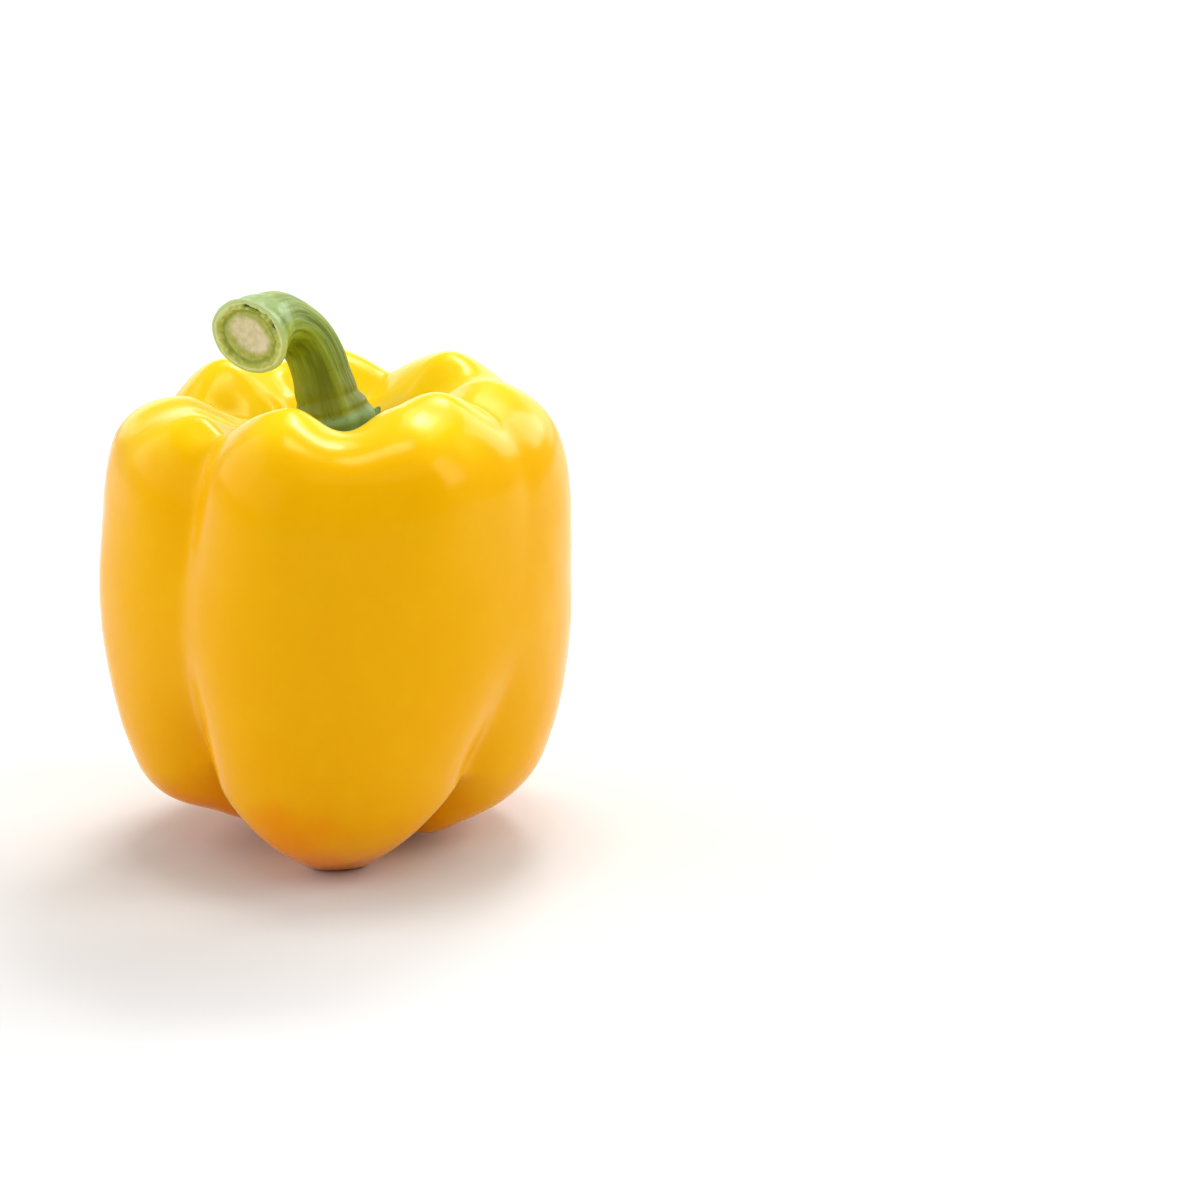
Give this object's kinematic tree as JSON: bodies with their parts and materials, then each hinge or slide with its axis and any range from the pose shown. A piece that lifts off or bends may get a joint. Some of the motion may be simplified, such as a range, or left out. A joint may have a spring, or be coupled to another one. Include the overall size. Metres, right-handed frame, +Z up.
{
  "type": "bell pepper",
  "caption": "Whole yellow bell pepper standing upright: a blocky, lobed, glossy fruit with a sunken green calyx and a thick green stem that bends forward to a flared, cut end.",
  "frame": {"origin": "on the ground, at the middle of the footprint, under the fruit", "axes": "+Z up out of the ground, along the fruit from its blossom end to its stem end; -Y towards the picture's camera, the side the cut end of the stem faces; +X to that camera's right"},
  "size_m": [0.087, 0.0864, 0.1047],
  "materials": {
    "skin": "gloss",
    "calyx": "matte",
    "stem": "matte"
  },
  "bodies": {
    "root": {"fruit": "skin", "calyx": "calyx", "stem": "stem"}
  },
  "joints": []
}
